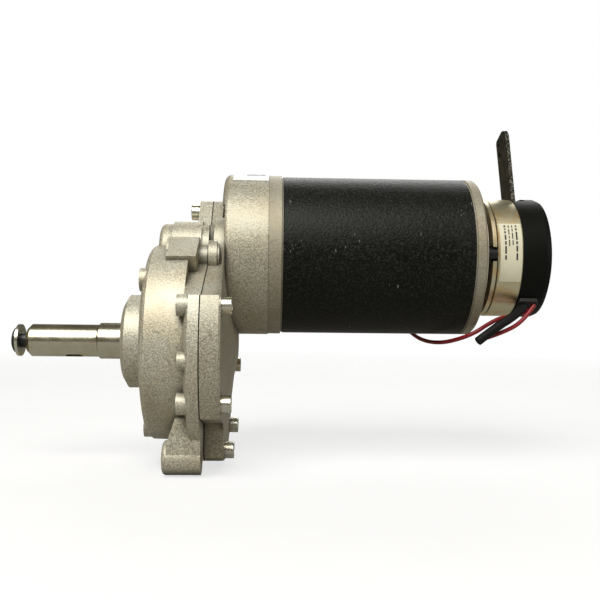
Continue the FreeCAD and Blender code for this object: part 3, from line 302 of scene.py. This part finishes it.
def tube_paint(name):
    """Satin black paint with an orange-peel grain, dust and a few pale scratches."""
    surface = Surface(name, 0.0, 0.42, Specular_IOR_Level=0.15)
    peel = surface.noise(1.4 * MM, detail=2.0)
    dust = surface.noise(0.9 * MM, detail=4.0)
    cloud = surface.noise(25 * MM, detail=4.0)
    scratch = surface.noise(1.6 * MM, stretch=(0.35, 2.6, 2.6), detail=5.0)
    patch = surface.noise(11 * MM, detail=1.0)
    base = surface.ramp(cloud, (0.3, (0.0018, 0.0020, 0.0013)), (0.7, (0.0045, 0.0050, 0.0036)))
    dusty = surface.mix(surface.spread(dust, 0.0, 0.8, 0.48, 0.72), base, (0.030, 0.031, 0.026))
    marks = surface.nodes.new("ShaderNodeMath")
    marks.operation = "MULTIPLY"
    surface.links.new(surface.spread(scratch, 0.0, 1.0, 0.66, 0.72), marks.inputs[0])
    surface.links.new(surface.spread(patch, 0.0, 1.0, 0.62, 0.70), marks.inputs[1])
    surface.color(surface.mix(marks.outputs[0], dusty, (0.42, 0.42, 0.40)))
    surface.rough(dust, 0.38, 0.52)
    surface.bump(peel, 0.22 * MM)
    return surface.material


def worn_plate_with_painted_highlight(name, color, bare_metal_and_highlight):
    """Blackened steel with brown patches, and a dotted bright band along the edge nearest the hand: worn metal and
    a painted edge highlight.
    """
    surface = Surface(name, 0.45, 0.45)
    across = surface.nodes.new("ShaderNodeSeparateXYZ")
    surface.links.new(surface.place, across.inputs["Vector"])
    patch = surface.noise(6 * MM, detail=4.0)
    fine = surface.noise(0.7 * MM, detail=4.0)
    edge = MOTOR.y - LEVER_WEAR_AND_HIGHLIGHT_EDGE
    # the bright band along this edge is wear and also a painted highlight on the lever's corner
    edge_wear_and_highlight = surface.nodes.new("ShaderNodeMath")
    edge_wear_and_highlight.operation = "MULTIPLY"
    near_edge = surface.spread(across.outputs["Y"], 1.0, 0.0, edge, edge + 0.35 * MM)
    surface.links.new(near_edge, edge_wear_and_highlight.inputs[0])
    surface.links.new(surface.spread(fine, 0.0, 0.55, 0.50, 0.60), edge_wear_and_highlight.inputs[1])
    base = surface.ramp(patch, (0.38, shade(color, 0.6)), (0.52, color), (0.66, (0.085, 0.060, 0.040)))
    speckled = surface.mix(surface.spread(fine, 0.0, 0.6, 0.5, 0.7), base, shade(color, 2.0))
    surface.color(surface.mix(edge_wear_and_highlight.outputs[0], speckled, bare_metal_and_highlight))
    surface.rough(fine, 0.32, 0.55)
    surface.bump(fine, 0.02 * MM)
    return surface.material


def windings(name, color):
    """Enamelled wire laid side by side."""
    surface = Surface(name, 0.85, 0.32)
    strands = surface.noise(0.5 * MM, stretch=(6, 1, 1), detail=1.0)
    surface.color(surface.ramp(strands, (0.3, shade(color, 0.35)), (0.6, color)))
    surface.rough(strands, 0.25, 0.45)
    surface.bump(strands, 0.2 * MM)
    return surface.material


def sticker(name, color):
    """Printed paper under a thin film, a little yellowed at random."""
    surface = Surface(name, 0.0, 0.36, Specular_IOR_Level=0.4)
    fibre = surface.noise(0.3 * MM, detail=3.0)
    age = surface.noise(6 * MM, detail=4.0)
    base = surface.ramp(age, (0.3, shade(color, 0.9)), (0.7, color))
    surface.color(surface.mix(surface.spread(fibre, 0.0, 0.15), base, shade(color, 0.8)))
    surface.rough(fibre, 0.3, 0.48)
    surface.bump(fibre, 0.008 * MM)
    return surface.material


MATERIALS = {
    "cast_aluminium": cast_metal("cast_aluminium", (0.53, 0.515, 0.43)),
    "machined_aluminium": cast_metal("machined_aluminium", (0.34, 0.32, 0.255), grain=0.6 * MM, contrast=0.3,
                                     relief=0.05 * MM, roughness=0.55, metallic=0.4),
    "black_tube": tube_paint("black_tube"),
    "polished_steel": turned_metal("polished_steel", (0.62, 0.59, 0.46), 0.22, tint=(0.44, 0.38, 0.26)),
    "zinc_screw": plated_metal("zinc_screw", (0.70, 0.69, 0.62), 0.24),
    "black_oxide_screw": plated_metal("black_oxide_screw", (0.035, 0.036, 0.042), 0.35, metallic=0.7),
    "yellow_zinc": plated_metal("yellow_zinc", (0.72, 0.65, 0.46), 0.34,
                                ((0.92, 1.0, 0.95), (1.05, 0.88, 0.66))),
    "brake_plate_zinc": plated_metal("brake_plate_zinc", (0.82, 0.80, 0.74), 0.4),
    "gear_steel": turned_metal("gear_steel", (0.36, 0.35, 0.33), 0.34),
    "bearing_steel": turned_metal("bearing_steel", (0.58, 0.58, 0.58), 0.18),
    "black_rubber": moulded("black_rubber", (0.018, 0.018, 0.018), 0.6),
    "gasket_paper": moulded("gasket_paper", (0.020, 0.016, 0.012), 0.75, grain=0.3 * MM),
    "magnet_ferrite": moulded("magnet_ferrite", (0.045, 0.045, 0.05), 0.6, grain=0.6 * MM),
    "rotor_laminations": turned_metal("rotor_laminations", (0.20, 0.20, 0.21), 0.4, line=0.5 * MM,
                                      relief=0.05 * MM),
    "copper_wire": windings("copper_wire", (0.62, 0.22, 0.08)),
    "commutator_copper": turned_metal("commutator_copper", (0.66, 0.34, 0.19), 0.3),
    "carbon": moulded("carbon", (0.03, 0.03, 0.03), 0.5),
    "brush_plastic": moulded("brush_plastic", (0.06, 0.035, 0.02), 0.5),
    "spring_steel": turned_metal("spring_steel", (0.42, 0.42, 0.42), 0.3),
    "friction_lining": moulded("friction_lining", (0.06, 0.05, 0.04), 0.8, grain=0.8 * MM, relief=0.1 * MM),
    "cover_plastic": moulded("cover_plastic", (0.0035, 0.0038, 0.0028), 0.5, grain=0.5 * MM,
                             Specular_IOR_Level=0.12),
    "lever_steel": worn_plate_with_painted_highlight("lever_steel", (0.030, 0.030, 0.021), (0.42, 0.41, 0.34)),
    "lead_black": moulded("lead_black", (0.007, 0.007, 0.007), 0.5, grain=0.9 * MM,
                          Specular_IOR_Level=0.15),
    "lead_red": moulded("lead_red", (0.27, 0.008, 0.012), 0.36, grain=0.8 * MM, variation=0.15),
    "terminal_brass": turned_metal("terminal_brass", (0.72, 0.58, 0.34), 0.25),
    "label_paper": sticker("label_paper", (0.72, 0.68, 0.52)),
    "label_white": sticker("label_white", (0.80, 0.80, 0.76)),
}


# the housing is a duller casting than the cover
DULLER_CASTINGS = {"gearbox_housing": cast_metal("duller_casting", (0.43, 0.415, 0.34), contrast=0.42)}


def dress_nodes():
    """Give every CAD node the material of its slot, or its own duller casting."""
    for part in RECORD["subparts"]:
        for slot in frame["nodes"][part["node"]].material_slots:
            slot.material = DULLER_CASTINGS.get(part["node"], MATERIALS[part["material_slot"]])


dress_nodes()
for lead, slot_name in ((black_lead, "lead_black"), (short_lead, "lead_red"), (long_lead, "lead_red")):
    lead.data.materials.append(MATERIALS[slot_name])

# ---- brush springs ---------------------------------------------------------

# each spring stands between its brush and the end of its guide, in millimetres from the motor's axis
SPRING_X, SPRING_RADIUS, SPRING_WIRE = 151.5, 2.4, 0.35
SPRING_LOW, SPRING_HIGH, SPRING_TURNS = 27.0, 34.8, 5
SPRING_CLEARANCE = 0.05
SPRING_STEPS, WIRE_SIDES = 32, 10


def coil_spring(name, node, side):
    """A coil between its brush and the end of its guide; side is 1 above the axis and -1 below."""
    inset = SPRING_WIRE + SPRING_CLEARANCE
    low, height = SPRING_LOW + inset, SPRING_HIGH - SPRING_LOW - 2 * inset
    count = SPRING_TURNS * SPRING_STEPS
    vertices, faces = [], []
    for step in range(count + 1):
        turn = 2 * math.pi * step / SPRING_STEPS
        rise = low + height * step / count
        for corner in range(WIRE_SIDES):
            around = 2 * math.pi * corner / WIRE_SIDES
            reach = SPRING_RADIUS + SPRING_WIRE * math.cos(around)
            vertices.append(from_motor(SPRING_X + reach * math.cos(turn), side * reach * math.sin(turn),
                                       side * (rise + SPRING_WIRE * math.sin(around))))
    for step in range(count):
        for corner in range(WIRE_SIDES):
            low_row, following = step * WIRE_SIDES, (corner + 1) % WIRE_SIDES
            faces.append((low_row + corner, low_row + following,
                          low_row + WIRE_SIDES + following, low_row + WIRE_SIDES + corner))
    last = count * WIRE_SIDES
    faces += [tuple(reversed(range(WIRE_SIDES))), tuple(range(last, last + WIRE_SIDES))]
    mesh = bpy.data.meshes.new(name)
    mesh.from_pydata(vertices, [], faces)
    shape = bmesh.new()
    shape.from_mesh(mesh)
    bmesh.ops.recalc_face_normals(shape, faces=shape.faces)
    shape.to_mesh(mesh)
    shape.free()
    mesh.shade_smooth()
    mesh.materials.append(MATERIALS["spring_steel"])
    spring = add_object(name, mesh)
    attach(spring, "casing")
    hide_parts(node)
    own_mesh(spring)


coil_spring("upper_spring_coil", "brush_spring_upper", 1)
coil_spring("lower_spring_coil", "brush_spring_lower", -1)

# ---- print on the stickers -------------------------------------------------

INK = moulded("ink", (0.03, 0.03, 0.035), 0.5)
GREY_INK = moulded("grey_ink", (0.20, 0.21, 0.22), 0.5)
PRINT_HEIGHT = 0.03 * MM
# degrees between the cross-sections of a curved bar
BAR_STEP = 1.5


def around_motor(x, angle, radius):
    """A point on a circle about the motor's axis, the angle in degrees from +Z towards -Y."""
    turn = math.radians(angle)
    return MOTOR + Vector((x, -radius * math.sin(turn), radius * math.cos(turn)))


def printed_bars(name, bars, radius, material):
    """Thin curved bars on a sticker, each (x start, x end, angle start, angle end)."""
    vertices, faces = [], []
    for x_start, x_end, angle_start, angle_end in bars:
        steps = max(2, round((angle_end - angle_start) / BAR_STEP))
        first = len(vertices)
        for step in range(steps + 1):
            angle = angle_start + (angle_end - angle_start) * step / steps
            for level in (radius, radius + PRINT_HEIGHT):
                vertices += [around_motor(x * MM, angle, level) for x in (x_start, x_end)]
        for step in range(steps):
            low = first + 4 * step
            for a, b in ((0, 1), (1, 3), (3, 2), (2, 0)):
                faces.append((low + a, low + b, low + b + 4, low + a + 4))
        last = first + 4 * steps
        faces += [(first + 2, first + 3, first + 1, first), (last, last + 1, last + 3, last + 2)]
    mesh = bpy.data.meshes.new(name)
    mesh.from_pydata(vertices, [], faces)
    mesh.materials.append(material)
    piece = add_object(name, mesh)
    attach(piece, "casing")


# a sticker's outer face: the radius it is stuck on, and its thickness
STICKER_THICKNESS = 0.2
BRAKE_LABEL_RADIUS = (31.8 + STICKER_THICKNESS) * MM
GEARBOX_LABEL_RADIUS = (43.0 + STICKER_THICKNESS) * MM
# rows of plain dashes, as a rating plate has lines: each row's X, thickness and dash lengths in degrees
BRAKE_ROWS = [(183.2, 0.9, (2.2, 1.4, 2.2, 5, 3.5, 7, 4)), (185.3, 0.6, (3, 5.5, 2.2, 6)),
              (187.1, 0.6, (2.2, 3, 6, 4.5)), (189.0, 0.9, (1.6, 2.4, 8, 3, 5.5, 6.5))]
ROW_START, DASH_GAP = 62, 1.3
BRAKE_PRINT = []
for row_x, thickness, dashes in BRAKE_ROWS:
    angle = ROW_START
    for dash in dashes:
        BRAKE_PRINT.append((row_x, row_x + thickness, angle, angle + dash))
        angle += dash + DASH_GAP
printed_bars("brake_label_print", BRAKE_PRINT, BRAKE_LABEL_RADIUS, INK)
# a plain block and a small square, with no lettering
GEARBOX_PRINT = [(50.5, 60.6, 13, 20), (47.2, 49.2, 15, 17.5)]
printed_bars("gearbox_label_print", GEARBOX_PRINT, GEARBOX_LABEL_RADIUS, GREY_INK)

# ---- floor, light and sky --------------------------------------------------

FLOOR_SIZE = 2.4
FLOOR_MIDDLE_X = 0.08
FLOOR_GAP = 0.5 * MM
# the distances from its middle between which the floor fades out
FLOOR_FADE = (0.5, 1.1)
# the floor is a thin veil over the white sky, so its shadow is faint and it throws little light upwards
FLOOR_VEIL = 0.3


def make_floor():
    """A pale floor that fades out into the sky."""
    lowest = cad_box[0].z
    mesh = bpy.data.meshes.new("floor")
    half = FLOOR_SIZE / 2
    corners = [(-half, -half, 0), (half, -half, 0), (half, half, 0), (-half, half, 0)]
    mesh.from_pydata(corners, [], [(0, 1, 2, 3)])
    floor = add_object("floor", mesh)
    floor.location = (FLOOR_MIDDLE_X, 0, lowest - FLOOR_GAP)
    surface = Surface("floor", 0.0, 0.9)
    fine = surface.noise(40 * MM)
    surface.color(surface.ramp(fine, (0.3, (0.86, 0.86, 0.85)), (0.7, (0.88, 0.88, 0.87))))
    away = surface.nodes.new("ShaderNodeVectorMath")
    away.operation = "LENGTH"
    surface.links.new(surface.place, away.inputs[0])
    veil = surface.spread(away.outputs["Value"], FLOOR_VEIL, 0.0, *FLOOR_FADE)
    surface.links.new(veil, surface.shader.inputs["Alpha"])
    mesh.materials.append(surface.material)


LIGHT_AIM = Vector((0.08, 0, 0.03))
# each light's name, place, size in metres, power in watts and colour
LIGHTS = [("key", (-0.22, -0.82, 1.0), (0.9, 0.9), 22, (1, 0.99, 0.95)),
          ("back", (0.3, 0.9, 0.8), (0.9, 0.6), 6, (1, 1, 1)),
          ("side", (1.1, -0.4, 0.3), (0.5, 0.5), 2, (1, 1, 1))]


def area_light(name, place, size, power, color):
    """A soft rectangular light turned to the object."""
    data = bpy.data.lights.new(name, "AREA")
    data.shape = "RECTANGLE"
    data.size, data.size_y = size
    data.energy = power
    data.color = color
    light = add_object(name, data)
    light.location = place
    light.rotation_euler = (LIGHT_AIM - Vector(place)).to_track_quat("-Z", "Y").to_euler()


# what lights the object and shows in its gloss
SKY_COLOR, SKY_STRENGTH = (0.85, 0.77, 0.54, 1), 0.13


def make_sky():
    """White behind the object, and dim and warm for all but the camera."""
    world = bpy.data.worlds.new("sky")
    bpy.context.scene.world = world
    world.use_nodes = True
    nodes, links = world.node_tree.nodes, world.node_tree.links
    nodes.clear()
    seen, dim = nodes.new("ShaderNodeBackground"), nodes.new("ShaderNodeBackground")
    seen.inputs["Color"].default_value = (1, 1, 1, 1)
    dim.inputs["Color"].default_value = SKY_COLOR
    dim.inputs["Strength"].default_value = SKY_STRENGTH
    path, mix, output = (nodes.new(kind) for kind in (
        "ShaderNodeLightPath", "ShaderNodeMixShader", "ShaderNodeOutputWorld"))
    links.new(path.outputs["Is Camera Ray"], mix.inputs["Fac"])
    links.new(dim.outputs["Background"], mix.inputs[1])
    links.new(seen.outputs["Background"], mix.inputs[2])
    links.new(mix.outputs["Shader"], output.inputs["Surface"])


make_floor()
for light_facts in LIGHTS:
    area_light(*light_facts)
make_sky()
bpy.context.scene.view_settings.view_transform = "Standard"
